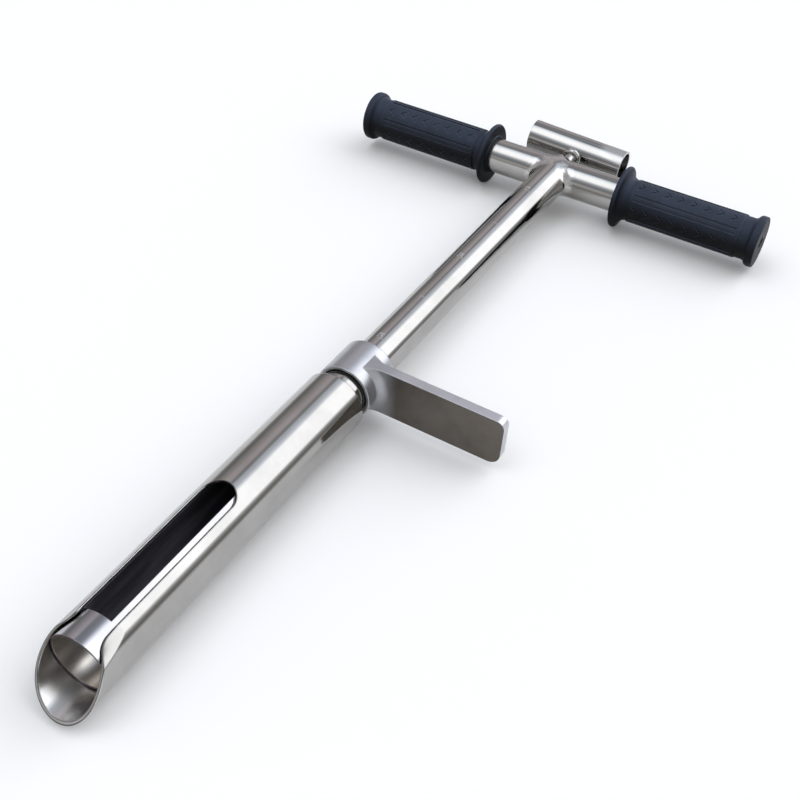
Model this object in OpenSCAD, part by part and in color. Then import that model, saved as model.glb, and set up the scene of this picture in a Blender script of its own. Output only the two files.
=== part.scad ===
// Soil probe with a cross handle, a swivelling foot pedal and a two-tube sampling barrel.
// All sizes are in millimetres. The probe lies on the floor with its window facing up.
// Z is up, the shaft runs along Y with the handle at +Y, and the crossbar runs along X.
// Stations are distances from the crossbar's axis, counted toward the tip.

/* [View] */
// which node is drawn

/* [Handle] */
// outside diameter of the handle tube
handle_tube_d = 25.4; // [22:0.1:28]
// wall of the crossbar tube
crossbar_wall = 1.5; // [1:0.1:2.5]
// overall width of the handle over both grips
handle_width = 314; // [280:1:360]
// clear width of bare crossbar between the grips
bare_width = 103; // [80:1:130]

/* [Grips] */
// diameter over the raised panels of a grip
grip_d = 31.2; // [29:0.1:35]
// depth of the channels between the panels
groove_depth = 0.7; // [0.3:0.1:1.2]
// width of the channels between the panels
groove_w = 5.6; // [3:0.1:8]
// width of the rib along the middle of a channel
groove_rib_w = 1.6; // [0.8:0.1:2.4]
// number of panels round a grip
panel_count = 5; // [3:1:6]
// diameter of the large flange at the inner end
inner_flange_d = 45; // [36:0.5:50]
// radius of the large flange's round rim
inner_rim_r = 1.8; // [1:0.1:2.5]
// radius of the hollow behind the large flange
inner_hollow_r = 7.4; // [4:0.1:9]
// radius of the bead that closes the grip round the crossbar
grip_bead_r = 1.2; // [0.5:0.1:2]
// diameter of the small flange at the outer end
outer_flange_d = 36.4; // [33:0.2:42]
// radius of the small flange's round rim
outer_rim_r = 2.6; // [1.5:0.1:3.5]
// radius of the hollow in front of the small flange
outer_hollow_r = 3.5; // [2:0.1:6]
// thickness of the small flange behind its round rim
outer_flange_back = 1.2; // [0:0.1:4]
// distance from the grip's inner end to the panels
panel_start = 11; // [9:0.5:16]
// length of the plain neck between the panels and the small flange
grip_neck_l = 8; // [6:0.5:14]
// thickness of the closed end of a grip
grip_end_t = 4.5; // [3:0.1:7]
// diameter of the vent hole in the closed end
vent_d = 8; // [2:0.1:12]
// distance from the grip's inner end to the first chevron
first_chevron = 15.8; // [14:0.1:18]
// number of sunk chevrons along a panel
chevron_count = 8; // [4:1:8]
// spacing of the chevrons
chevron_pitch = 9.7; // [8:0.1:10]
// depth of the chevrons in the panel
chevron_depth = 0.6; // [0.2:0.1:0.9]
// length of one chevron arm
chevron_arm = 5; // [3:0.1:6]
// width of one chevron arm
chevron_w = 1.4; // [0.8:0.1:2]
// turn of the right grip's first panel below level
right_grip_turn = -3; // [-36:1:36]
// turn of the left grip's first panel below level
left_grip_turn = 13; // [-36:1:36]

/* [Shaft] */
// outside diameter of the shaft tube
shaft_d = 25.4; // [22:0.1:28]
// wall of the shaft tube
shaft_wall = 2; // [1.5:0.1:3]
// leg of the weld bead between shaft and crossbar
shaft_weld_leg = 3; // [1:0.1:5]
// spacing of the engraved depth marks
mark_pitch = 50; // [10:5:50]
// distance of the lowest depth mark from the tip
lowest_mark_depth = 280; // [275:1:300]
// number of depth marks
mark_count = 5; // [2:1:5]
// every so many marks is a long one
long_every = 2; // [2:1:5]
// depth of the engraved marks
mark_depth = 0.25; // [0.1:0.05:0.5]
// width of the engraved marks
mark_w = 0.5; // [0.3:0.1:1]
// length of the long marks
long_mark_l = 5; // [4:0.5:10]
// length of the short marks
short_mark_l = 3; // [1:0.5:4]

/* [Barrel] */
// outside diameter of the outer tube
barrel_d = 38; // [36:0.1:42]
// wall of the outer tube
barrel_wall = 1.5; // [1.2:0.1:2]
// station of the top of the outer tube
barrel_top = 300.5; // [290:0.5:310]
// station of the point of the tip
tip_station = 532; // [510:1:560]
// rounding of the outer tube's top edge
barrel_top_round = 1.2; // [0.5:0.1:1.4]
// width of the outer window
window_w = 20; // [14:0.5:24]
// station of the rounded upper end of the outer window
window_top = 399.5; // [370:0.5:420]
// how far the oblique cut runs along the barrel
tip_cut_run = 33; // [24:1:50]
// radius of the gently curved oblique cut
tip_cut_r = 165; // [100:5:400]
// roll of the oblique cut away from the window
tip_cut_turn = 8; // [-15:1:15]
// depth of the ground flats where they meet the cut
grind_depth = 1.1; // [0.3:0.1:1.1]
// angle of the ground flats from the window's middle
grind_angle = 40; // [34:1:50]
// length of the ground flats above the cut
grind_l = 13.5; // [12:0.5:30]
// radius that rounds the window's lower corners into the cut
corner_round_r = 3; // [1.5:0.5:5]

/* [Inner tube] */
// gap between the inner and the outer tube
tube_gap = 0.8; // [0.3:0.1:1.5]
// wall of the inner tube
inner_wall = 1; // [0.8:0.1:2]
// station of the lower end of the inner tube
inner_end = 511.2; // [495:0.1:520]
// height of the full ring below the inner window
ring_h = 17; // [10:0.5:25]
// station of the upper end of the inner window
inner_window_top = 388; // [370:1:396]
// width of the inner window
inner_window_w = 20; // [14:0.5:22]
// turn of the inner window in the resting position
inner_turn = 15; // [-180:1:180]

/* [Neck] */
// diameter of the neck between barrel and pedal
neck_d = 28.6; // [28.2:0.1:29]
// how far the neck stands out of the barrel
neck_h = 13; // [12:0.5:16]
// how deep the adapter's plug sits in the barrel
plug_depth = 14; // [12:0.5:24]

/* [Foot pedal] */
// outside diameter of the pedal's collar
collar_d = 34.6; // [34:0.1:38]
// length of the pedal's collar
collar_l = 29.5; // [27:0.5:34]
// gap along the shaft between collar and barrel
collar_gap = 8.5; // [7.5:0.5:9]
// rounding of the collar's back edge
collar_back_round = 1.6; // [0.5:0.1:1.8]
// rounding of the collar's front edge
collar_front_round = 0.5; // [0.2:0.1:0.6]
// reach of the pedal plate from the shaft's axis
pedal_reach = 96; // [80:1:120]
// height of the pedal plate
pedal_h = 31.6; // [24:0.2:32]
// thickness of the pedal plate
pedal_t = 6.2; // [5:0.1:10]
// radius of the plate's upper outer corner
upper_corner_r = 5; // [3:0.5:10]
// radius of the plate's lower outer corner
lower_corner_r = 7.5; // [3:0.5:10]
// radius of the blend between collar and plate
pedal_blend_r = 7; // [6:0.5:9]
// how far the blend reaches from the shaft's axis
pedal_blend_reach = 23.5; // [21:0.5:24]
// outside diameter of the pedal's bush
bush_d = 31.8; // [31.4:0.1:32]
// how far the plate sits from the collar's middle toward the handle
pedal_plate_shift = 0.4; // [0:0.1:3]
// angle of the plate below level in the resting position
pedal_drop = 1; // [0:0.5:2]

/* [Knob and rod] */
// outside diameter of the knob tube
knob_d = 25; // [22:0.1:28]
// wall of the knob tube
knob_wall = 1.5; // [1:0.1:2.5]
// length of the knob tube
knob_l = 75; // [60:1:100]
// distance of the knob tube's axis beyond the crossbar's axis
knob_station = 41.5; // [38:0.5:50]
// angle of the knob tube below the crossbar in the resting position
knob_drop = 2.5; // [0:0.5:10]
// diameter of the control rod
rod_d = 10; // [8:0.5:12]
// across-flats size of the rod's nut
nut_af = 17; // [16:0.5:19]
// thickness of the rod's nut
nut_t = 8; // [6:0.5:10]

/* [Hidden] */
$fn = 96;

// clearances
running_gap = 0.05;
swivel_gap = 0.08;
axial_gap = 0.3;
seat_gap = 0.02;
bore_relief = 1;
cut_over = 1;

// radii
handle_r = handle_tube_d / 2;
crossbar_bore_r = handle_r - crossbar_wall;
shaft_r = shaft_d / 2;
shaft_bore_r = shaft_r - shaft_wall;
barrel_r = barrel_d / 2;
barrel_bore_r = barrel_r - barrel_wall;
inner_r = barrel_bore_r - tube_gap;
inner_bore_r = inner_r - inner_wall;
neck_r = neck_d / 2;
collar_r = collar_d / 2;
bush_r = bush_d / 2;
knob_r = knob_d / 2;
knob_bore_r = knob_r - knob_wall;
rod_r = rod_d / 2;
grip_r = grip_d / 2;
groove_r = grip_r - groove_depth;
inner_flange_r = inner_flange_d / 2;
outer_flange_r = outer_flange_d / 2;
rod_hole_r = rod_r + bore_relief;

// handle stations along the crossbar
grip_in = bare_width / 2;
grip_out = handle_width / 2;
grip_l = grip_out - grip_in;
crossbar_half = grip_out - grip_end_t - axial_gap;
end_edge_r = 1.2;
outer_rim_at = grip_l - outer_flange_back - outer_rim_r;
panel_end = outer_rim_at - outer_rim_r - grip_neck_l;
groove_end_margin = 2;
chevron_angle = 38;
panel_sink = 1;

// stations along the shaft
neck_top = barrel_top - neck_h;
plug_end = barrel_top + plug_depth;
plug_floor_t = 6;
shaft_seat_end = plug_end - plug_floor_t;
thrust_washer_t = 1;
bush_step = neck_top - thrust_washer_t - axial_gap;
collar_front = barrel_top - collar_gap;
collar_back = collar_front - collar_l;
collar_lip = 3;
collar_lip_h = 0.8;
collar_lip_r = bush_r - collar_lip_h;
bush_recess = 0.8;
bush_back = collar_back + collar_lip;
bush_front = collar_front - bush_recess;
bush_counter_gap = 0.6;
bush_counter_r = neck_r + bush_counter_gap;
ring_groove_depth = 0.6;
retaining_ring_t = 1.2;
retaining_ring_h = 1.7;
retaining_ring_r = shaft_r + retaining_ring_h;
ring_groove_play = 0.05;
retaining_ring_back = bush_back - axial_gap - retaining_ring_t;
plate_mid = (collar_front + collar_back) / 2 - pedal_plate_shift;

// barrel stations
window_end = tip_station + cut_over;
corner_beyond_cut_top = 8;
grind_end = tip_station - tip_cut_run + corner_beyond_cut_top;
grind_start = grind_end - grind_l;
grind_slope = atan2(grind_depth, grind_l);
inner_window_end = inner_end - ring_h;
cap_t = 8;
cap_washer_t = 1;
lower_bush_flange_t = 1.5;
lower_bush_flange_r = 9.5;
lower_bush_wall = 2;
lower_bush_l = 7;
lower_bush_end = plug_end + lower_bush_flange_t;
cap_top = lower_bush_end + axial_gap + cap_washer_t;
cap_stand = 0.5;
inner_top = cap_top + cap_stand;
lock_washer_t = 1.6;
lock_washer_inset = 1;
nut_top = cap_top + cap_t + lock_washer_t;
rod_beyond_nut = 3;
rod_end = nut_top + nut_t + rod_beyond_nut;
nut_r = nut_af / 2 / cos(30);

// tip cut, an arc through the top and bottom of the barrel's outside
cut_chord_half = norm([barrel_d, tip_cut_run]) / 2;
cut_centre_back = sqrt(tip_cut_r * tip_cut_r - cut_chord_half * cut_chord_half);
cut_lean = atan2(barrel_d, tip_cut_run);
cut_centre_up = -cut_centre_back * cos(cut_lean);
cut_centre_station = tip_station - tip_cut_run / 2 - cut_centre_back * sin(cut_lean);

// height of the window's edges above the tube's axis
window_edge_up = barrel_r * cos(asin(window_w / barrel_d));

// where the cut meets the window's edge on one side, upward from the centre of the cut's curve
function corner_rise(side) =
    barrel_r * cos(asin(window_w / barrel_d) + side * tip_cut_turn) - cut_centre_up;

// the same point, measured along the tube
function corner_reach(side) =
    sqrt(tip_cut_r * tip_cut_r - corner_rise(side) * corner_rise(side));

// angle at which the turned cut runs past the window's edge on one side
function corner_tilt(side) =
    side * asin(sin(tip_cut_turn) * corner_rise(side) / tip_cut_r);

// depth marks
lowest_mark = tip_station - lowest_mark_depth;

// knob and upper bush
upper_bush_wall = 2;
upper_bush_r = rod_r + upper_bush_wall;
upper_bush_stand = 1.5;
upper_bush_out = handle_r + upper_bush_stand;
upper_bush_in = handle_r - crossbar_wall - upper_bush_stand;
rod_ring_t = 1;
rod_ring_depth = 0.8;
rod_ring_h = 2.6;
rod_ring_r = rod_r + rod_ring_h;
knob_bead_r = 2.7;
knob_bead_shift = 0.4;
knob_bead_at = knob_station - knob_r + knob_bead_shift;

// place in the row, lying on the floor
lowest_r = max(inner_flange_r, barrel_r, collar_r);
axis_z = lowest_r;
back_reach = knob_station + knob_r;
cross_y = (tip_station - back_reach) / 2;

// turns the shaft's own frame (station along z, up along y) into the row's frame
module on_shaft() {
    translate([0, cross_y, axis_z])
        rotate([90, 0, 0])
            children();
}

// a tube along z from one station to another
module tube(r_out, r_in, from, to) {
    translate([0, 0, from])
        difference() {
            cylinder(r = r_out, h = to - from);
            translate([0, 0, -cut_over])
                cylinder(r = r_in, h = to - from + 2 * cut_over);
        }
}

// a solid round bar along z from one station to another
module bar(r_out, from, to) {
    translate([0, 0, from])
        cylinder(r = r_out, h = to - from);
}

// the crossbar's axis, z along +X of the row
module on_crossbar() {
    on_shaft()
        rotate([0, 90, 0])
            children();
}

module crossbar() {
    color([0.78, 0.78, 0.79])
    difference() {
        on_crossbar()
            tube(handle_r, crossbar_bore_r, -crossbar_half, crossbar_half);
        on_shaft()
            bar(upper_bush_r, -handle_r - cut_over, 0);
        on_shaft()
            bar(rod_hole_r, 0, handle_r + cut_over);
    }
}

// half profile of a flange that rises from the grip's body through a hollow to a round rim
module flange_profile(rim_out, rim_r, hollow_r, rim_at, toward) {
    centres = rim_r + hollow_r;
    across = rim_out - rim_r - groove_r - hollow_r;
    along = sqrt(centres * centres - across * across);
    hollow_at = rim_at + toward * along;
    difference() {
        polygon([[0, rim_at], [rim_out - rim_r, rim_at], [groove_r + hollow_r, hollow_at], [0, hollow_at]]);
        translate([groove_r + hollow_r, hollow_at])
            circle(r = hollow_r);
    }
    translate([rim_out - rim_r, rim_at])
        circle(r = rim_r);
}

// half profile of a grip, radius along x and length from its inner end along y
module grip_profile() {
    difference() {
        union() {
            square([groove_r, grip_l]);
            square([inner_flange_r - inner_rim_r, inner_rim_r]);
            flange_profile(inner_flange_r, inner_rim_r, inner_hollow_r, inner_rim_r, 1);
            translate([handle_r + grip_bead_r / 2, 0])
                circle(r = grip_bead_r);
            flange_profile(outer_flange_r, outer_rim_r, outer_hollow_r, outer_rim_at, -1);
            // back of the small flange with its rounded edge
            translate([0, outer_rim_at])
                square([outer_flange_r - end_edge_r, grip_l - outer_rim_at]);
            translate([0, outer_rim_at])
                square([outer_flange_r, grip_l - outer_rim_at - end_edge_r]);
            translate([outer_flange_r - end_edge_r, grip_l - end_edge_r])
                circle(r = end_edge_r);
        }
        translate([-cut_over, -2 * grip_bead_r])
            square([cut_over + handle_r + seat_gap, grip_l - grip_end_t + 2 * grip_bead_r]);
        translate([-cut_over, 0])
            square([cut_over + vent_d / 2, grip_l + cut_over]);
    }
}

// one channel between two panels with a rib along its middle, at angle 0
module grip_channel() {
    difference() {
        translate([groove_r, -groove_w / 2, panel_start + groove_end_margin])
            cube([grip_r, groove_w, panel_end - panel_start - 2 * groove_end_margin]);
        translate([0, -groove_rib_w / 2, panel_start])
            cube([2 * grip_r, groove_rib_w, panel_end - panel_start]);
    }
}

// one sunk chevron, pointing toward the outer end, at angle 0
module chevron() {
    for (side = [-1, 1])
        translate([grip_r - chevron_depth, 0, chevron_arm / 2])
            rotate([side * chevron_angle, 0, 0])
                translate([0, -chevron_w / 2, -chevron_arm])
                    cube([chevron_depth + cut_over, chevron_w, chevron_arm + chevron_w / 2]);
}

// the raised sleeve of panels with its channels and chevrons
module grip_panels(turn) {
    difference() {
        tube(grip_r, groove_r - panel_sink, panel_start, panel_end);
        for (i = [0 : panel_count - 1])
            rotate([0, 0, turn + (i + 0.5) * 360 / panel_count])
                grip_channel();
        for (i = [0 : panel_count - 1])
            for (k = [0 : chevron_count - 1])
                rotate([0, 0, turn + i * 360 / panel_count])
                    translate([0, 0, first_chevron + k * chevron_pitch])
                        chevron();
    }
}

// a grip along z with its inner end at zero
module grip(turn) {
    rotate_extrude()
        grip_profile();
    grip_panels(turn);
}

module left_grip() {
    color([0.09, 0.10, 0.12])
    on_crossbar()
        mirror([0, 0, 1])
            translate([0, 0, grip_in])
                grip(180 + left_grip_turn);
}

module right_grip() {
    color([0.09, 0.10, 0.12])
    on_crossbar()
        translate([0, 0, grip_in])
            grip(180 + right_grip_turn);
}

module shaft() {
    color([0.78, 0.78, 0.79])
    difference() {
        on_shaft()
            tube(shaft_r, shaft_bore_r, 0, shaft_seat_end);
        on_crossbar()
            bar(handle_r, -2 * shaft_d, 2 * shaft_d);
        // groove for the retaining ring
        on_shaft()
            tube(shaft_r + cut_over, shaft_r - ring_groove_depth,
                 retaining_ring_back - ring_groove_play,
                 retaining_ring_back + retaining_ring_t + ring_groove_play);
        // depth marks along the top
        for (i = [0 : mark_count - 1])
            on_shaft()
                depth_mark(lowest_mark - i * mark_pitch, i % long_every == 0 ? long_mark_l : short_mark_l);
    }
}

// one engraved mark across the top of the shaft
module depth_mark(station, length) {
    translate([-length / 2, shaft_r - mark_depth, station - mark_w / 2])
        cube([length, mark_depth + cut_over, mark_w]);
}

module shaft_weld() {
    color([0.86, 0.86, 0.86])
    difference() {
        intersection() {
            on_shaft()
                bar(shaft_r + shaft_weld_leg, 0, shaft_d);
            on_crossbar()
                bar(handle_r + shaft_weld_leg, -shaft_d, shaft_d);
        }
        on_crossbar()
            bar(handle_r, -2 * shaft_d, 2 * shaft_d);
        on_shaft()
            bar(shaft_r, -cut_over, 2 * shaft_d);
    }
}

module upper_rod_bush() {
    color([0.72, 0.72, 0.73])
    on_shaft()
        tube(upper_bush_r, rod_r + running_gap, -upper_bush_out, -upper_bush_in);
}

// the knob tube's axis, z along its length
module on_knob() {
    on_shaft()
        rotate([0, 0, -knob_drop])
            translate([0, 0, -knob_station])
                rotate([0, 90, 0])
                    children();
}

module knob_tube() {
    color([0.78, 0.78, 0.79])
    on_knob()
        tube(knob_r, knob_bore_r, -knob_l / 2, knob_l / 2);
}

module knob_weld() {
    color([0.9, 0.9, 0.9])
    difference() {
        on_shaft()
            translate([0, 0, -knob_bead_at])
                rotate_extrude()
                    translate([rod_r, 0])
                        circle(r = knob_bead_r);
        on_shaft()
            bar(rod_r, -knob_station, 0);
        on_knob()
            bar(knob_r, -knob_l, knob_l);
    }
}

module control_rod() {
    color([0.72, 0.72, 0.73])
    difference() {
        on_shaft()
            bar(rod_r, -knob_station, rod_end);
        on_knob()
            bar(knob_r, -knob_l, knob_l);
        on_shaft()
            tube(rod_r + cut_over, rod_r - rod_ring_depth,
                 -upper_bush_out - axial_gap - rod_ring_t, -upper_bush_out - axial_gap);
    }
}

module rod_retaining_ring() {
    color([0.4, 0.4, 0.42])
    on_shaft()
        tube(rod_ring_r, rod_r - rod_ring_depth + seat_gap,
             -upper_bush_out - axial_gap - rod_ring_t + seat_gap, -upper_bush_out - axial_gap - seat_gap);
}

module neck_adapter() {
    color([0.76, 0.76, 0.77])
    on_shaft()
        difference() {
            union() {
                bar(neck_r, neck_top, barrel_top + cut_over);
                bar(barrel_bore_r - seat_gap, barrel_top, plug_end);
            }
            bar(shaft_r + seat_gap, neck_top - cut_over, shaft_seat_end);
            bar(rod_r + lower_bush_wall, shaft_seat_end - cut_over, plug_end + cut_over);
        }
}

module lower_rod_bush() {
    color([0.72, 0.58, 0.32])
    on_shaft()
        difference() {
            union() {
                bar(rod_r + lower_bush_wall - seat_gap, lower_bush_end - lower_bush_l, lower_bush_end);
                bar(lower_bush_flange_r, plug_end, lower_bush_end);
            }
            bar(rod_r + running_gap, lower_bush_end - lower_bush_l - cut_over, lower_bush_end + cut_over);
        }
}

// half profile of the outer tube with its rounded top edge
module barrel_profile() {
    translate([barrel_bore_r, barrel_top])
        square([barrel_wall - barrel_top_round, tip_station - barrel_top]);
    translate([barrel_bore_r, barrel_top + barrel_top_round])
        square([barrel_wall, tip_station - barrel_top - barrel_top_round]);
    intersection() {
        translate([barrel_r - barrel_top_round, barrel_top + barrel_top_round])
            circle(r = barrel_top_round);
        translate([barrel_bore_r, barrel_top])
            square([barrel_wall, 2 * barrel_top_round]);
    }
}

// space of a window that opens upward, with a half-round upper end
module window_space(width, from, to, height) {
    translate([-width / 2, 0, from + width / 2])
        cube([width, height, to - from - width / 2]);
    translate([0, 0, from + width / 2])
        rotate([-90, 0, 0])
            cylinder(r = width / 2, h = height);
}

// everything beyond the curved oblique cut
module beyond_cut() {
    rotate([0, 0, tip_cut_turn])
        difference() {
            translate([-barrel_d, -barrel_d, tip_station - 2 * tip_cut_run])
                cube([2 * barrel_d, 2 * barrel_d, 3 * tip_cut_run]);
            translate([0, cut_centre_up, cut_centre_station])
                rotate([0, 90, 0])
                    translate([0, 0, -2 * barrel_d])
                        cylinder(r = tip_cut_r, h = 4 * barrel_d);
        }
}

// flats ground on the outside beside the window's lower corners, deeper toward the tip
module grind_flats() {
    for (side = [-1, 1])
        rotate([0, 0, 90 + side * grind_angle])
            translate([barrel_r, 0, grind_start])
                rotate([0, -grind_slope, 0])
                    translate([0, -barrel_r, -grind_l])
                        cube([barrel_r, barrel_d, grind_l + tip_station - grind_start]);
}

// rounds the window's lower corners square to the cut, tangent to the window's edge and the cut
module corner_rounds() {
    for (side = [-1, 1])
        translate([side * window_w / 2, window_edge_up, cut_centre_station + corner_reach(side)])
            rotate([-atan2(corner_rise(side) * cos(tip_cut_turn), corner_reach(side)), 0, 0])
                mirror([side < 0 ? 1 : 0, 0, 0])
                    corner_waste(corner_round_r * (1 - sin(corner_tilt(side))), corner_tilt(side));
}

// what is taken off one corner, as wide as the given width
module corner_waste(width, tilt) {
    translate([0, 0, -width / cos(tilt)])
        difference() {
            translate([0, -barrel_r, 0])
                cube([width, barrel_d, 2 * corner_round_r]);
            translate([corner_round_r, -barrel_r - cut_over, 0])
                rotate([-90, 0, 0])
                    cylinder(r = corner_round_r, h = barrel_d + 2 * cut_over);
        }
}

module outer_tube() {
    color([0.78, 0.78, 0.79])
    on_shaft()
        difference() {
            rotate_extrude()
                barrel_profile();
            window_space(window_w, window_top, window_end, barrel_d);
            corner_rounds();
            beyond_cut();
            grind_flats();
        }
}

module inner_tube() {
    color([0.74, 0.74, 0.75])
    on_shaft()
        rotate([0, 0, inner_turn])
            difference() {
                tube(inner_r, inner_bore_r, inner_top, inner_end);
                window_space(inner_window_w, inner_window_top, inner_window_end, 2 * inner_r);
            }
}

module inner_cap() {
    color([0.7, 0.7, 0.71])
    on_shaft()
        tube(inner_bore_r - seat_gap, rod_r + seat_gap, cap_top, cap_top + cap_t);
}

module cap_thrust_washer() {
    color([0.92, 0.91, 0.86])
    on_shaft()
        tube(lower_bush_flange_r, rod_r + seat_gap, cap_top - cap_washer_t, cap_top);
}

module lock_washer() {
    color([0.6, 0.6, 0.62])
    on_shaft()
        tube(nut_r - lock_washer_inset, rod_r + seat_gap, cap_top + cap_t, nut_top);
}

module rod_nut() {
    color([0.66, 0.66, 0.68])
    on_shaft()
        difference() {
            translate([0, 0, nut_top])
                cylinder(r = nut_r, h = nut_t, $fn = 6);
            bar(rod_r + seat_gap, nut_top - cut_over, nut_top + nut_t + cut_over);
        }
}

// half profile of the collar with rounded outer edges
module collar_profile() {
    difference() {
        union() {
            translate([0, collar_back + collar_back_round])
                square([collar_r, collar_l - collar_back_round - collar_front_round]);
            translate([0, collar_back])
                square([collar_r - collar_back_round, collar_l]);
            translate([collar_r - collar_back_round, collar_back + collar_back_round])
                circle(r = collar_back_round);
            translate([0, collar_front - cut_over])
                square([collar_r - collar_front_round, cut_over]);
            translate([collar_r - collar_front_round, collar_front - collar_front_round])
                circle(r = collar_front_round);
        }
        translate([0, bush_back])
            square([bush_r, collar_l]);
        translate([0, collar_back - cut_over])
            square([collar_lip_r, collar_l]);
    }
}

// the blend follows the collar round and thins into the plate's faces
module blend_profile() {
    difference() {
        translate([collar_lip_r, plate_mid - collar_l / 2 + collar_back_round])
            square([pedal_blend_reach - collar_lip_r, collar_l - 2 * collar_back_round]);
        for (side = [-1, 1]) {
            translate([pedal_blend_reach, plate_mid + side * (pedal_t / 2 + pedal_blend_r)])
                circle(r = pedal_blend_r);
            translate([pedal_blend_reach - pedal_blend_r, plate_mid + side * (pedal_t / 2 + pedal_blend_r)
                       - (side > 0 ? 0 : collar_l)])
                square([2 * pedal_blend_r, collar_l]);
        }
    }
}

// outline of the plate, reach along x and height along y
module plate_outline() {
    translate([0, -pedal_h / 2 + lower_corner_r])
        square([pedal_reach, pedal_h - lower_corner_r - upper_corner_r]);
    half_plate(upper_corner_r, 1);
    half_plate(lower_corner_r, -1);
}

// upper or lower half of the plate's outline with its own outer corner
module half_plate(corner_r, side) {
    corner_at = pedal_h / 2 - corner_r;
    translate([pedal_reach - corner_r, side * corner_at])
        circle(r = corner_r);
    translate([0, side > 0 ? 0 : -pedal_h / 2])
        square([pedal_reach - corner_r, pedal_h / 2]);
}

module foot_pedal() {
    color([0.55, 0.55, 0.55])
    on_shaft()
        rotate([0, 0, -pedal_drop]) {
            rotate_extrude()
                collar_profile();
            difference() {
                union() {
                    translate([0, 0, plate_mid - pedal_t / 2])
                        linear_extrude(height = pedal_t)
                            plate_outline();
                    intersection() {
                        rotate_extrude()
                            blend_profile();
                        translate([0, -pedal_h / 2, collar_back])
                            cube([pedal_reach, pedal_h, collar_l]);
                    }
                }
                bar(bush_r + seat_gap, bush_back - cut_over, collar_front + cut_over);
                bar(collar_lip_r, collar_back - cut_over, collar_front);
            }
        }
}

module pedal_bush() {
    color([0.5, 0.5, 0.5])
    on_shaft()
        difference() {
            bar(bush_r - seat_gap, bush_back, bush_front);
            bar(shaft_r + swivel_gap, bush_back - cut_over, bush_front);
            bar(bush_counter_r, bush_step, bush_front + cut_over);
        }
}

module thrust_washer() {
    color([0.72, 0.58, 0.32])
    on_shaft()
        tube(neck_r, shaft_r + seat_gap, neck_top - thrust_washer_t, neck_top);
}

module retaining_ring() {
    color([0.4, 0.4, 0.42])
    on_shaft()
        tube(retaining_ring_r, shaft_r - ring_groove_depth + seat_gap,
             retaining_ring_back, retaining_ring_back + retaining_ring_t);
}

crossbar();
left_grip();
right_grip();
shaft();
shaft_weld();
upper_rod_bush();
knob_tube();
knob_weld();
control_rod();
rod_retaining_ring();
neck_adapter();
lower_rod_bush();
outer_tube();
inner_tube();
inner_cap();
cap_thrust_washer();
lock_washer();
rod_nut();
foot_pedal();
pedal_bush();
thrust_washer();
retaining_ring();
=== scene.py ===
import math

import bpy
from mathutils import Matrix, Vector


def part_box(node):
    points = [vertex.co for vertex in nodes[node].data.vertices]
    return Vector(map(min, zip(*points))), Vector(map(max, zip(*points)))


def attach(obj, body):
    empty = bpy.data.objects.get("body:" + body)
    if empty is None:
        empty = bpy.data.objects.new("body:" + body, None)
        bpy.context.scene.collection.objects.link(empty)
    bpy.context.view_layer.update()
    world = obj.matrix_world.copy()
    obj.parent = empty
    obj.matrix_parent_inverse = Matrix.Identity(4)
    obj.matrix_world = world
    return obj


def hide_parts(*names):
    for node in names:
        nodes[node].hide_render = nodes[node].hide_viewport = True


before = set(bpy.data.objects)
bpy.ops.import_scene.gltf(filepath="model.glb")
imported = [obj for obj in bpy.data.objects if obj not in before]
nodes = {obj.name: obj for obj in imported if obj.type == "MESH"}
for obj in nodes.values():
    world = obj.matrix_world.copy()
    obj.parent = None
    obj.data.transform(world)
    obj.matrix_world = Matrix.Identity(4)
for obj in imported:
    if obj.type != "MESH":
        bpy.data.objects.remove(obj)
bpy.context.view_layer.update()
scene = bpy.context.scene

# places and sizes, in metres. A station is a distance from the crossbar's axis toward the tip.
bar_low, bar_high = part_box("crossbar")
knob_low, knob_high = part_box("knob_tube")
AXIS_Z = (bar_low.z + bar_high.z) / 2
CROSS_Y = (bar_low.y + bar_high.y) / 2
TUBE_R = (bar_high.y - bar_low.y) / 2
TIP_STATION = 0.532
RING_TOP_STATION = 0.4942
BARREL_BORE_R = 0.0175
INNER_TUBE_BORE_R = 0.0157
KNOB_STATION = CROSS_Y - (knob_low.y + knob_high.y) / 2
KNOB_BORE_R = 0.011
PLATE_START = 0.0215

# where one look goes into the next, in metres from a tube's bore, the ring's top and the plate's start
BORE_FADE = (0.0001, 0.0005)
RING_FADE = (-0.012, 0.012)
PLATE_FADE = (-0.004, 0.008)
# part of the knob tube's rims that is as dull as its bore
KNOB_DULL_RIM = 0.0004

# the CAD shaft's long depth marks: distance of the lowest from the tip, spacing and number
LOWEST_MARK_DEPTH = 0.28
LONG_MARK_PITCH = 0.1
LONG_MARKS = 3


def at_station(across, station, up):
    """A point from its place across the shaft, its station and its height over the shaft's axis."""
    return Vector((across, CROSS_Y - station, AXIS_Z + up))


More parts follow.
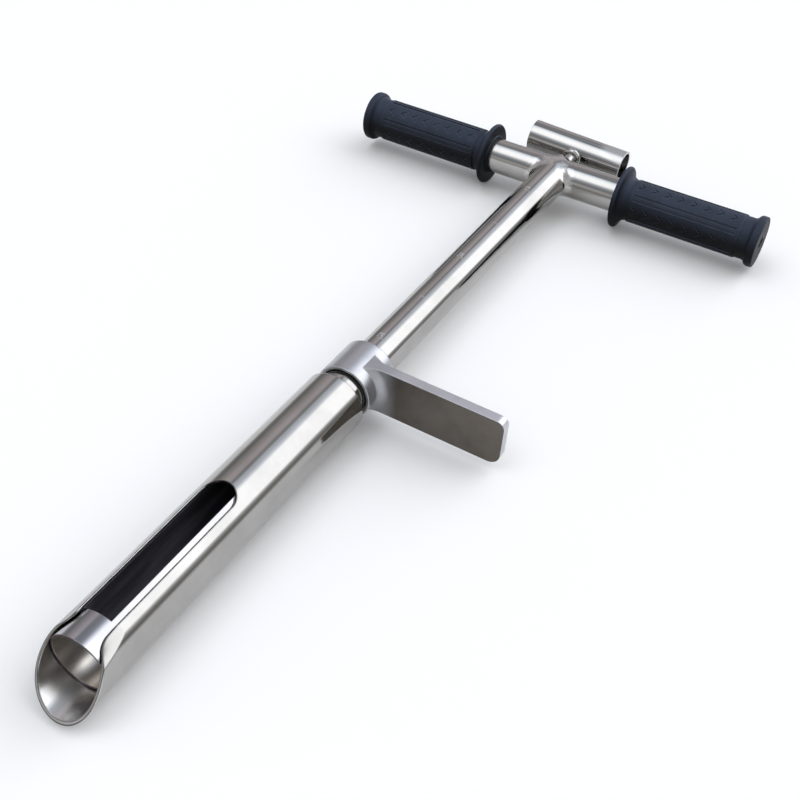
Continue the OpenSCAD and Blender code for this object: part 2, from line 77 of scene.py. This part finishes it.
# shader help
class Shader:
    """A small helper that adds nodes and links in one material or world."""

    def __init__(self, tree):
        self.tree = tree

    def add(self, kind, **props):
        node = self.tree.nodes.new(kind)
        for name, value in props.items():
            setattr(node, name, value)
        return node

    def put(self, node, key, value):
        """Links a socket into an input, or writes a plain value on the input itself."""
        socket = node.inputs[key]
        if isinstance(value, bpy.types.NodeSocket):
            self.tree.links.new(value, socket)
        else:
            socket.default_value = value

    def math(self, op, a, b=None):
        node = self.add("ShaderNodeMath", operation=op)
        self.put(node, 0, a)
        if b is not None:
            self.put(node, 1, b)
        return node.outputs[0]

    def average(self, a, b):
        return self.math("MULTIPLY", self.math("ADD", a, b), 0.5)

    def mix(self, fac, a, b, blend="MIX"):
        """A colour from a, where fac is 0, to b."""
        node = self.add("ShaderNodeMix", data_type="RGBA", blend_type=blend)
        self.put(node, 0, fac)
        self.put(node, 6, a)
        self.put(node, 7, b)
        return node.outputs[2]

    def blend(self, fac, a, b):
        """A plain number from a, where fac is 0, to b."""
        node = self.add("ShaderNodeMix", data_type="FLOAT")
        self.put(node, 0, fac)
        self.put(node, 2, a)
        self.put(node, 3, b)
        return node.outputs[0]

    def ramp(self, fac, stops):
        """The colour at fac between stops, which are (position, colour) pairs."""
        node = self.add("ShaderNodeValToRGB")
        items = node.color_ramp.elements
        while len(items) > 1:
            items.remove(items[-1])
        items[0].position, items[0].color = stops[0]
        for position, colour in stops[1:]:
            items.new(position).color = colour
        self.put(node, 0, fac)
        return node.outputs[0]

    def fade(self, value, start, end, low=0.0, high=1.0):
        """Goes smoothly from low to high as value goes from start to end."""
        node = self.add("ShaderNodeMapRange", interpolation_type="SMOOTHSTEP")
        self.put(node, 0, value)
        for i, number in enumerate((start, end, low, high)):
            node.inputs[i + 1].default_value = number
        return node.outputs[0]

    def fade_out(self, value, start, end):
        """Goes smoothly from 1 to 0 as value goes from start to end."""
        return self.fade(value, start, end, low=1.0, high=0.0)

    def split(self, vector):
        node = self.add("ShaderNodeSeparateXYZ")
        self.put(node, 0, vector)
        return node.outputs


def new_material(name):
    mat = bpy.data.materials.new(name)
    mat.use_nodes = True
    tree = mat.node_tree
    tree.nodes.clear()
    sh = Shader(tree)
    out = sh.add("ShaderNodeOutputMaterial")
    bsdf = sh.add("ShaderNodeBsdfPrincipled")
    tree.links.new(bsdf.outputs[0], out.inputs[0])
    return mat, sh, bsdf


def set_surface(sh, bsdf, base, roughness, metallic=0.0):
    sh.put(bsdf, "Base Color", base)
    sh.put(bsdf, "Roughness", roughness)
    sh.put(bsdf, "Metallic", metallic)


def object_coords(sh):
    return sh.add("ShaderNodeTexCoord").outputs["Object"]


def facing(sh):
    """The x, y and z parts of the surface's normal."""
    return sh.split(sh.add("ShaderNodeTexCoord").outputs["Normal"])


def stretched(sh, scale):
    """Object coordinates scaled per axis, for grain that runs along a part."""
    node = sh.add("ShaderNodeMapping")
    sh.put(node, "Vector", object_coords(sh))
    sh.put(node, "Scale", scale)
    return node.outputs[0]


def noise(sh, vector, scale, detail=3.0, rough=0.5):
    node = sh.add("ShaderNodeTexNoise")
    sh.put(node, "Vector", vector)
    sh.put(node, "Scale", scale)
    sh.put(node, "Detail", detail)
    sh.put(node, "Roughness", rough)
    return node.outputs[0]


def rounded_normal(sh, edge):
    """The normal of a surface whose edges are rounded to the given radius."""
    bevel = sh.add("ShaderNodeBevel", samples=6)
    sh.put(bevel, "Radius", edge)
    return bevel.outputs[0]


def edge_mask(sh, normal):
    """1 on the rounding of an edge, where the rounded normal leaves the true one, and 0 elsewhere."""
    true_normal = sh.add("ShaderNodeNewGeometry").outputs["True Normal"]
    both = sh.add("ShaderNodeVectorMath", operation="DOT_PRODUCT")
    sh.put(both, 0, normal)
    sh.put(both, 1, true_normal)
    return sh.fade_out(both.outputs["Value"], start=0.93, end=0.995)


def surface_bump(sh, bsdf, height, strength, distance, normal):
    bump = sh.add("ShaderNodeBump")
    sh.put(bump, "Strength", strength)
    sh.put(bump, "Distance", distance)
    sh.put(bump, "Height", height)
    sh.put(bump, "Normal", normal)
    sh.put(bsdf, "Normal", bump.outputs[0])


def darker(colour, share):
    return tuple(c * share for c in colour[:3]) + (1.0,)


def mottled(sh, pattern, colour, share, start=0.3, end=0.7):
    """The colour, darkened to its share where the pattern is high."""
    return sh.mix(sh.fade(pattern, start, end), colour, darker(colour, share))


def in_node(node, point):
    """A point of the row in a CAD node's own coordinates."""
    return nodes[node].matrix_world.inverted() @ point


def shifted(borders, place):
    """Where a fade starts and ends, from its borders around a place."""
    return [place + border for border in borders]


def inside_mask(sh, node, on_axis, bore_r, along):
    """1 on a tube's bore and 0 on its outside.

    on_axis is any point on the tube's axis, and along is the number of that axis."""
    place = in_node(node, on_axis)
    parts = sh.split(object_coords(sh))
    squares = []
    for axis in range(3):
        if axis != along:
            off = sh.math("SUBTRACT", parts[axis], place[axis])
            squares.append(sh.math("MULTIPLY", off, off))
    reach = sh.math("SQRT", sh.math("ADD", squares[0], squares[1]))
    return sh.fade_out(reach, *shifted(BORE_FADE, bore_r))


# colours of the surfaces
STEEL = (0.41, 0.40, 0.385, 1.0)
INNER_TUBE_STEEL = (0.44, 0.435, 0.45, 1.0)
BARREL_BORE_STEEL = (0.60, 0.59, 0.58, 1.0)
KNOB_BORE_STEEL = (0.50, 0.49, 0.48, 1.0)
MOUTH_RING_STEEL = (0.66, 0.62, 0.57, 1.0)
# painted shade deep in the inner tube's bore, streaky between these two
BORE_SHADE_DARK = (0.045, 0.042, 0.052, 1.0)
BORE_SHADE_PALE = (0.09, 0.085, 0.10, 1.0)
# painted shade on the tube end faces that face the tip
END_FACE_SHADE = (0.08, 0.05, 0.05, 1.0)
# painted shade on the roundings of the tubes' edges
BARREL_EDGE_SHADE = (0.035, 0.03, 0.03, 1.0)
INNER_TUBE_EDGE_SHADE = (0.12, 0.10, 0.14, 1.0)
# painted highlight on the tubes' edge roundings that face +x
TUBE_EDGE_HIGHLIGHT = (0.85, 0.85, 0.87, 1.0)
CAST_COLLAR = (0.47, 0.475, 0.50, 1.0)
CAST_PLATE = (0.58, 0.58, 0.61, 1.0)
# painted shade on the pedal plate's front and back faces
PLATE_FACE_SHADE = (0.145, 0.128, 0.112, 1.0)
WELD_STEEL = (0.50, 0.49, 0.48, 1.0)
BUSH_STEEL = (0.30, 0.30, 0.31, 1.0)
ROD_STEEL = (0.46, 0.455, 0.45, 1.0)
SPRING_STEEL = (0.12, 0.12, 0.13, 1.0)
BRONZE = (0.50, 0.33, 0.14, 1.0)
ETCHED_STEEL = (0.68, 0.68, 0.71, 1.0)
RUBBER_BLACK = (0.003, 0.0035, 0.005, 1.0)
# painted top light on the grips' upward faces
RUBBER_TOP_LIGHT = (0.036, 0.047, 0.073, 1.0)
# painted highlight on the grips' upward edge roundings
RUBBER_EDGE_HIGHLIGHT = (0.12, 0.14, 0.18, 1.0)
PLASTIC_PALE = (0.82, 0.80, 0.72, 1.0)
PLASTIC_DULL = (0.74, 0.72, 0.64, 1.0)
FLOOR_WHITE = (0.9, 0.9, 0.9, 1.0)
# roughness of the tubes' cut edges and sawn ends
CUT_ROUGH = 0.4


# materials
def polished_steel(name, colour, along, rough=0.05, edge=0.0003, bore=None, edge_shade=None):
    """Polished stainless tube with lengthwise draw lines and faint smears.

    bore is None or a function of the shader that gives (mask, colour, roughness, metallic).
    The last argument is None or the dark colour of painted shade on the roundings of edges.
    Roundings that face the pedal's side get a painted highlight, and the end faces toward the tip get
    painted shade."""
    mat, sh, bsdf = new_material(name)
    across, lengthwise = 90.0, 2.2
    grain_scale = [across] * 3
    grain_scale[along] = lengthwise
    lines = noise(sh, stretched(sh, grain_scale), scale=9.0, detail=4.0, rough=0.6)
    smears = noise(sh, object_coords(sh), scale=26.0, detail=4.0, rough=0.6)
    base = mottled(sh, smears, colour, share=0.88, start=0.35)
    uneven = sh.average(lines, smears)
    roughness = sh.fade(uneven, 0.3, 0.75, low=rough * 0.7, high=rough * 1.8)
    metallic = 1.0
    if bore:
        mask, bore_colour, bore_rough, bore_metallic = bore(sh)
        base = sh.mix(mask, base, bore_colour)
        roughness = sh.blend(mask, roughness, bore_rough)
        metallic = sh.blend(mask, 1.0, bore_metallic)
    normal = rounded_normal(sh, edge)
    if edge_shade:
        x, y, _ = facing(sh)
        square_end = sh.fade_out(y, -0.97, -0.85)
        on_edge = edge_mask(sh, normal)
        # painted highlight mask: the edge roundings that face +x
        highlit_edge = sh.math("MULTIPLY", sh.fade(x, 0.9, 0.98), on_edge)
        # painted shade on the end faces toward the tip
        base = sh.mix(square_end, base, END_FACE_SHADE)
        # painted shade on the edge roundings, apart from the painted highlight on those facing +x
        base = sh.mix(on_edge, base, sh.mix(highlit_edge, edge_shade, TUBE_EDGE_HIGHLIGHT))
        roughness = sh.blend(sh.math("MAXIMUM", on_edge, square_end), roughness, CUT_ROUGH)
    set_surface(sh, bsdf, base, roughness, metallic)
    surface_bump(sh, bsdf, lines, strength=0.035, distance=0.0004, normal=normal)
    return mat


def barrel_bore(sh):
    """The outer tube's bore: drawn, unpolished steel with a warm tone."""
    mask = inside_mask(sh, "outer_tube", at_station(0, 0, 0), BARREL_BORE_R, along=1)
    bore_rough = 0.24
    return mask, BARREL_BORE_STEEL, bore_rough, 1.0


def inner_tube_bore(sh):
    """The inner tube's bore: painted shade deep inside, streaky, and bright in the full ring at its
    mouth.
    """
    mask = inside_mask(sh, "inner_tube", at_station(0, 0, 0), INNER_TUBE_BORE_R, along=1)
    ring_top = in_node("inner_tube", at_station(0, RING_TOP_STATION, 0))[1]
    along_tube = sh.split(object_coords(sh))[1]
    # painted shade: the bore darkens away from its mouth ring
    deep_in_bore = sh.fade(along_tube, *shifted(RING_FADE, ring_top))
    streaks = noise(sh, stretched(sh, (40.0, 3.0, 40.0)), scale=5.0, detail=4.0, rough=0.6)
    bore_shade = sh.mix(sh.fade(streaks, 0.4, 0.65), BORE_SHADE_DARK, BORE_SHADE_PALE)
    bore_rough = 0.28
    deep_bore_metallic = 0.2
    colour = sh.mix(deep_in_bore, MOUTH_RING_STEEL, bore_shade)
    return mask, colour, bore_rough, sh.blend(deep_in_bore, 1.0, deep_bore_metallic)


def knob_bore(sh):
    """The knob tube's bore and the inner part of its rims: drawn, unpolished steel."""
    dull_r = KNOB_BORE_R + KNOB_DULL_RIM
    mask = inside_mask(sh, "knob_tube", at_station(0, KNOB_STATION, 0), dull_r, along=0)
    bore_rough = 0.3
    return mask, KNOB_BORE_STEEL, bore_rough, 1.0


def cast_steel(name):
    """Satin cast stainless with painted shade on the plate's front and back faces, and a darker steel
    on the collar than on the plate.
    """
    mat, sh, bsdf = new_material(name)
    grain = noise(sh, object_coords(sh), scale=1500.0, rough=0.6)
    patch = noise(sh, object_coords(sh), scale=60.0, detail=4.0, rough=0.6)
    plate_start = in_node("foot_pedal", at_station(PLATE_START, 0, 0))[0]
    outward = sh.split(object_coords(sh))[0]
    on_plate = sh.fade(outward, *shifted(PLATE_FADE, plate_start))
    flat_on = sh.fade(sh.math("ABSOLUTE", facing(sh)[1]), 0.75, 0.97)
    collar_and_plate_steel = sh.mix(on_plate, CAST_COLLAR, CAST_PLATE)
    # painted shade on the plate's flat front and back faces
    skin_and_face_shade = sh.mix(sh.math("MULTIPLY", on_plate, flat_on), collar_and_plate_steel, PLATE_FACE_SHADE)
    shade = sh.fade(patch, 0.35, 0.7, low=1.0, high=0.84)
    tone = sh.add("ShaderNodeCombineColor")
    for i in range(3):
        sh.put(tone, i, shade)
    base = sh.mix(1.0, skin_and_face_shade, tone.outputs[0], "MULTIPLY")
    roughness = sh.fade(sh.average(grain, patch), 0.3, 0.7, low=0.30, high=0.44)
    set_surface(sh, bsdf, base, roughness, metallic=1.0)
    normal = rounded_normal(sh, edge=0.0009)
    surface_bump(sh, bsdf, grain, strength=0.12, distance=0.0003, normal=normal)
    return mat


def weld_steel(name, colour):
    """A dressed weld: bright steel with shallow, uneven ripples."""
    mat, sh, bsdf = new_material(name)
    ripple = noise(sh, object_coords(sh), scale=260.0, detail=2.0)
    set_surface(sh, bsdf, mottled(sh, ripple, colour, share=0.8), roughness=0.14, metallic=1.0)
    normal = rounded_normal(sh, edge=0.0002)
    surface_bump(sh, bsdf, ripple, strength=0.35, distance=0.0006, normal=normal)
    return mat


def rubber(name):
    """Soft black grip rubber with a fine surface grain, a bluish painted top light where it faces up
    and a painted highlight on its upward edges.
    """
    mat, sh, bsdf = new_material(name)
    skin_and_face_shade = noise(sh, object_coords(sh), scale=2400.0, detail=2.0)
    bloom = noise(sh, object_coords(sh), scale=90.0, detail=5.0, rough=0.65)
    # painted top light: bluish where the normal faces up, patchy
    upward = sh.fade(facing(sh)[2], -0.1, 0.9)
    painted_top_light = sh.math("MULTIPLY", upward, sh.fade(bloom, 0.3, 0.75, low=0.75, high=1.0))
    normal = rounded_normal(sh, edge=0.0005)
    # painted highlight on the edge roundings that face up
    lit_edge = sh.math("MULTIPLY", edge_mask(sh, normal), painted_top_light)
    base = sh.mix(painted_top_light, RUBBER_BLACK, RUBBER_TOP_LIGHT)
    roughness = sh.fade(bloom, 0.3, 0.75, low=0.42, high=0.56)
    set_surface(sh, bsdf, sh.mix(lit_edge, base, RUBBER_EDGE_HIGHLIGHT), roughness)
    sh.put(bsdf, "Specular IOR Level", 0.10)
    surface_bump(sh, bsdf, skin_and_face_shade, strength=0.12, distance=0.0002, normal=normal)
    return mat


def plain_metal(name, colour, rough):
    """Plain metal with faint patches."""
    mat, sh, bsdf = new_material(name)
    patch = noise(sh, object_coords(sh), scale=140.0, detail=4.0, rough=0.6)
    roughness = sh.fade(patch, 0.3, 0.7, low=rough * 0.8, high=rough * 1.3)
    set_surface(sh, bsdf, mottled(sh, patch, colour, share=0.75), roughness, metallic=1.0)
    return mat


def slip_plastic(name):
    """Pale bearing plastic with fine flecks."""
    mat, sh, bsdf = new_material(name)
    fleck = noise(sh, object_coords(sh), scale=300.0)
    base = sh.mix(sh.fade(fleck, 0.3, 0.7), PLASTIC_PALE, PLASTIC_DULL)
    set_surface(sh, bsdf, base, roughness=0.45)
    return mat


weld_look = weld_steel("weld_bead", WELD_STEEL)
WEARS = [
    (polished_steel("polished_tube_y", STEEL, along=1), ["shaft", "neck_adapter"]),
    (polished_steel("polished_barrel", STEEL, along=1, edge=0.0013, bore=barrel_bore,
                    edge_shade=BARREL_EDGE_SHADE), ["outer_tube"]),
    (polished_steel("satin_crossbar", STEEL, along=0, rough=0.12), ["crossbar"]),
    (polished_steel("polished_knob", STEEL, along=0, rough=0.035, bore=knob_bore), ["knob_tube"]),
    (polished_steel("satin_inner_tube", INNER_TUBE_STEEL, along=1, rough=0.10, edge=0.0005,
                    bore=inner_tube_bore, edge_shade=INNER_TUBE_EDGE_SHADE), ["inner_tube"]),
    (polished_steel("turned_cap", STEEL, along=1, rough=0.2), ["inner_cap"]),
    (cast_steel("cast_pedal_steel"), ["foot_pedal"]),
    (plain_metal("bush_steel", BUSH_STEEL, rough=0.35), ["pedal_bush"]),
    (weld_look, ["shaft_weld", "knob_weld"]),
    (plain_metal("turned_rod", ROD_STEEL, rough=0.2),
     ["upper_rod_bush", "control_rod", "lock_washer", "rod_nut"]),
    (plain_metal("bearing_bronze", BRONZE, rough=0.3), ["lower_rod_bush", "thrust_washer"]),
    (plain_metal("spring_steel", SPRING_STEEL, rough=0.3),
     ["rod_retaining_ring", "retaining_ring"]),
    (slip_plastic("slip_plastic"), ["cap_thrust_washer"]),
    (rubber("grip_rubber"), ["left_grip", "right_grip"]),
]
for material, names in WEARS:
    for name in names:
        for material_slot in nodes[name].material_slots:
            material_slot.material = material


# pieces of the scene's own
def mesh_object(name, vertices, faces, smooth=True):
    mesh = bpy.data.meshes.new(name)
    mesh.from_pydata(vertices, [], faces)
    mesh.polygons.foreach_set("use_smooth", [smooth] * len(faces))
    obj = bpy.data.objects.new(name, mesh)
    scene.collection.objects.link(obj)
    return obj


# the dressed weld: how far its hollow blends the tubes over the top and at the sides, how far
# it spreads on each tube, and how deep its rim sinks into them so that no gap shows
WELD_REACH_TOP = 0.0028
WELD_REACH_SIDE = 0.0070
WELD_SPREAD = 0.0085
WELD_RIM_SINK = 0.00004
WELD_RIM_SHARPNESS = 8
WELD_TURNS = 144
WELD_RUNS = 20
# the weld's surface is searched for along a ray, between two distances from the joint's centre
SEARCH_FROM = 0.8 * TUBE_R
SEARCH_TO = 4 * TUBE_R
HALVINGS = 30


def smooth_union(point, reach):
    """Signed distance to the shaft and the crossbar, blended smoothly over reach."""
    to_shaft = math.hypot(point.x, point.y) - TUBE_R
    to_crossbar = math.hypot(point.y, point.z) - TUBE_R
    overlap = max(reach - abs(to_shaft - to_crossbar), 0.0) / reach
    return min(to_shaft, to_crossbar) - overlap * overlap * reach / 4


def weld_point(turn, run):
    """A point of the weld, in the shaft's frame: across, up and along the station.

    turn goes round the shaft. run goes from -1 on the shaft to 1 on the crossbar."""
    side = abs(math.cos(turn))
    reach = WELD_REACH_TOP + (WELD_REACH_SIDE - WELD_REACH_TOP) * side ** 2
    corner = TUBE_R * Vector((math.cos(turn), math.sin(turn), side))
    if run < 0:
        away = Vector((0, 0, 1))
    else:
        backward = abs(math.sin(turn)) ** 3
        away = Vector((math.cos(turn), 0, -backward))
    ray = (corner + away * abs(run) * WELD_SPREAD).normalized()
    inside, outside = SEARCH_FROM, SEARCH_TO
    for _ in range(HALVINGS):
        middle = (inside + outside) / 2
        if smooth_union(ray * middle, reach) > 0:
            outside = middle
        else:
            inside = middle
    return ray * (inside - WELD_RIM_SINK * abs(run) ** WELD_RIM_SHARPNESS)


def build_weld():
    """The dressed weld between shaft and crossbar, hollow at the sides and thin over the top."""
    points = []
    for i in range(WELD_TURNS):
        for j in range(WELD_RUNS + 1):
            p = weld_point(2 * math.pi * i / WELD_TURNS, 2 * j / WELD_RUNS - 1)
            points.append(at_station(p.x, p.z, p.y))
    faces = []
    for i in range(WELD_TURNS):
        here = i * (WELD_RUNS + 1)
        there = (i + 1) % WELD_TURNS * (WELD_RUNS + 1)
        for j in range(WELD_RUNS):
            faces.append((here + j, here + j + 1, there + j + 1, there + j))
    weld = mesh_object("dressed_weld", points, faces)
    weld.data.materials.append(weld_look)
    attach(weld, "frame")
    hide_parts("shaft_weld")


# strokes of the scale's digits on a field one wide and two high
DIGIT_STROKES = {
    "2": [(0.0, 1.7), (0.25, 2.0), (0.75, 2.0), (1.0, 1.7), (1.0, 1.3), (0.0, 0.0), (1.0, 0.0)],
    "3": [(0.0, 1.8), (0.3, 2.0), (0.8, 2.0), (1.0, 1.6), (0.5, 1.1), (1.0, 0.6), (0.8, 0.0),
          (0.3, 0.0), (0.0, 0.2)],
    "4": [(1.0, 0.6), (0.0, 0.6), (0.75, 2.0), (0.75, 0.0)],
    "8": [(0.5, 1.1), (0.05, 1.5), (0.3, 2.0), (0.7, 2.0), (0.95, 1.5), (0.5, 1.1),
          (0.0, 0.55), (0.3, 0.0), (0.7, 0.0), (1.0, 0.55), (0.5, 1.1)],
}
DIGIT_W = 0.0016
DIGIT_GAP = 0.0009
STROKE_W = 0.0004
DIGIT_LIFT = 0.00002
# distance of the first digit from its mark, and of the digits' middle from the shaft's top line
MARK_TO_DIGIT = 0.0012
DIGITS_OFF_TOP = -0.0012


def on_shaft_skin(station, round_way):
    """A point just over the shaft's skin, round_way from its top line toward the pedal's side."""
    turn = round_way / TUBE_R
    r = TUBE_R + DIGIT_LIFT
    return at_station(r * math.sin(turn), station, r * math.cos(turn))


def stroke_quad(a, b):
    """Four corners of a straight stroke from a to b, as (station, round_way) pairs."""
    run = Vector((b[0] - a[0], b[1] - a[1])).normalized() * STROKE_W / 2
    side = Vector((-run.y, run.x))
    start = Vector(a) - run
    end = Vector(b) + run
    return [start + side, start - side, end - side, end + side]


def build_scale_digits():
    """Each long mark's distance from the tip in centimetres, beside it and read along the shaft."""
    points, faces = [], []
    for i in range(LONG_MARKS):
        depth = LOWEST_MARK_DEPTH + i * LONG_MARK_PITCH
        for place, digit in enumerate(str(round(depth * 100))):
            start = TIP_STATION - depth - MARK_TO_DIGIT - place * (DIGIT_W + DIGIT_GAP)
            path = [(start - x * DIGIT_W, DIGITS_OFF_TOP + (y - 1) * DIGIT_W)
                    for x, y in DIGIT_STROKES[digit]]
            for a, b in zip(path, path[1:]):
                faces.append(tuple(range(len(points), len(points) + 4)))
                points += [on_shaft_skin(*corner) for corner in stroke_quad(a, b)]
    digits = mesh_object("scale_digits", points, faces, smooth=False)
    digits.data.materials.append(plain_metal("etched_digits", ETCHED_STEEL, rough=0.6))
    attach(digits, "frame")


build_weld()
build_scale_digits()

# floor
FLOOR_SIZE = 40.0
FLOOR_Z = -0.0002


def build_floor():
    h = FLOOR_SIZE / 2
    corners = [(-h, -h, 0), (h, -h, 0), (h, h, 0), (-h, h, 0)]
    floor = mesh_object("floor", corners, [(0, 1, 2, 3)], smooth=False)
    floor.location.z = FLOOR_Z
    mat, sh, bsdf = new_material("floor_white")
    set_surface(sh, bsdf, FLOOR_WHITE, roughness=0.9)
    sh.put(bsdf, "Specular IOR Level", 0.1)
    floor.data.materials.append(mat)


build_floor()

# light, all from the world: a plain sky in front, a soft band on the pedal's side at the back,
# and a softer strip that runs over the probe from front to back
BRIGHTEST = 2.5
PLAIN = (1.0, 1.0, 1.0)
CLEAN = (0.98, 1.0, 1.04)
COOL = (0.92, 0.99, 1.10)
MAUVE = (1.04, 0.97, 1.02)
# degrees from the +X horizon over the zenith to the -X horizon, brightness, tint
SIDE_LIGHT = [
    (0, 0.20, PLAIN), (8, 0.25, PLAIN), (16, 0.45, PLAIN), (22, 1.0, CLEAN), (27, 2.5, CLEAN),
    (78, 2.5, CLEAN), (85, 1.5, COOL), (92, 1.1, COOL), (101, 0.90, COOL), (107, 0.42, COOL),
    (111, 0.40, MAUVE), (117, 0.65, MAUVE), (126, 0.70, MAUVE), (134, 0.60, MAUVE),
    (142, 0.50, MAUVE), (150, 0.42, MAUVE), (160, 0.28, PLAIN), (168, 0.28, PLAIN),
    (174, 0.45, PLAIN), (180, 0.45, PLAIN),
]
# degrees from the front horizon over the zenith to the back horizon, brightness, tint
FRONT_LIGHT = [
    (0, 0.25, PLAIN), (9, 0.55, PLAIN), (17, 0.70, PLAIN), (25, 0.40, PLAIN), (33, 0.33, COOL),
    (41, 0.60, COOL), (47, 0.85, COOL), (53, 1.5, CLEAN), (60, 2.4, CLEAN), (80, 2.5, CLEAN),
    (92, 2.1, COOL), (100, 1.5, COOL), (107, 0.45, COOL), (114, 0.35, COOL), (122, 0.40, COOL),
    (135, 0.42, COOL), (155, 0.85, PLAIN), (180, 0.45, PLAIN),
]
FRONT_SKY = 0.7
HORIZON = 0.75
# borders on the unit sphere, as where each fade starts and ends
FRONT_BORDER_Y = (0.08, 0.30)
STRIP_BORDER_Y = (0.35, 0.55)
STRIP_LEFT_X = (-0.58, -0.42)
STRIP_RIGHT_X = (-0.14, 0.06)
HORIZON_BORDER_Z = (0.04, 0.11)


def light_stops(levels):
    stops = []
    for degrees, level, tint in levels:
        stops.append((degrees / 180, tuple(level / BRIGHTEST * c for c in tint) + (1.0,)))
    return stops


def grey(level):
    return (level / BRIGHTEST,) * 3 + (1.0,)


def build_world():
    world = bpy.data.worlds.new("studio")
    scene.world = world
    world.use_nodes = True
    tree = world.node_tree
    tree.nodes.clear()
    sh = Shader(tree)
    x, y, z = sh.split(sh.add("ShaderNodeTexCoord").outputs["Generated"])
    over_side = sh.math("DIVIDE", sh.math("ARCTAN2", z, x), math.pi)
    forward = sh.math("MULTIPLY", y, -1.0)
    over_front = sh.math("DIVIDE", sh.math("ARCTAN2", z, forward), math.pi)
    side = sh.ramp(over_side, light_stops(SIDE_LIGHT))
    front = sh.ramp(over_front, light_stops(FRONT_LIGHT))
    side = sh.mix(sh.fade_out(y, *FRONT_BORDER_Y), side, grey(FRONT_SKY))
    across = sh.math("MULTIPLY", sh.fade_out(x, *STRIP_RIGHT_X), sh.fade(x, *STRIP_LEFT_X))
    strip = sh.math("MULTIPLY", sh.fade_out(y, *STRIP_BORDER_Y), across)
    sky = sh.mix(strip, side, front)
    sky = sh.mix(sh.fade_out(z, *HORIZON_BORDER_Z), sky, grey(HORIZON))
    back = sh.add("ShaderNodeBackground")
    sh.put(back, 0, sky)
    sh.put(back, 1, BRIGHTEST)
    out = sh.add("ShaderNodeOutputWorld")
    tree.links.new(back.outputs[0], out.inputs[0])


build_world()

# camera, at the photograph's angle; lens and sensor are in millimetres
LENS = 51.41
SENSOR_W = 36.0
NEAREST = 0.01
FARTHEST = 100.0
FORWARD = Vector((-0.3487, 0.6589, -0.6666)).normalized()
RIGHT_HINT = Vector((0.8611, 0.5060, 0.0497))
CAMERA_PLACE = at_station(0.2583, 0.7098, 0.4349)


def build_camera():
    data = bpy.data.cameras.new("camera")
    data.sensor_width = SENSOR_W
    data.sensor_fit = "HORIZONTAL"
    data.lens = LENS
    data.clip_start = NEAREST
    data.clip_end = FARTHEST
    camera = bpy.data.objects.new("camera", data)
    scene.collection.objects.link(camera)
    right = (RIGHT_HINT - FORWARD * RIGHT_HINT.dot(FORWARD)).normalized()
    turn = Matrix((right, right.cross(FORWARD), -FORWARD)).transposed().to_4x4()
    camera.matrix_world = Matrix.Translation(CAMERA_PLACE) @ turn
    scene.camera = camera


build_camera()
scene.view_settings.view_transform = "Standard"
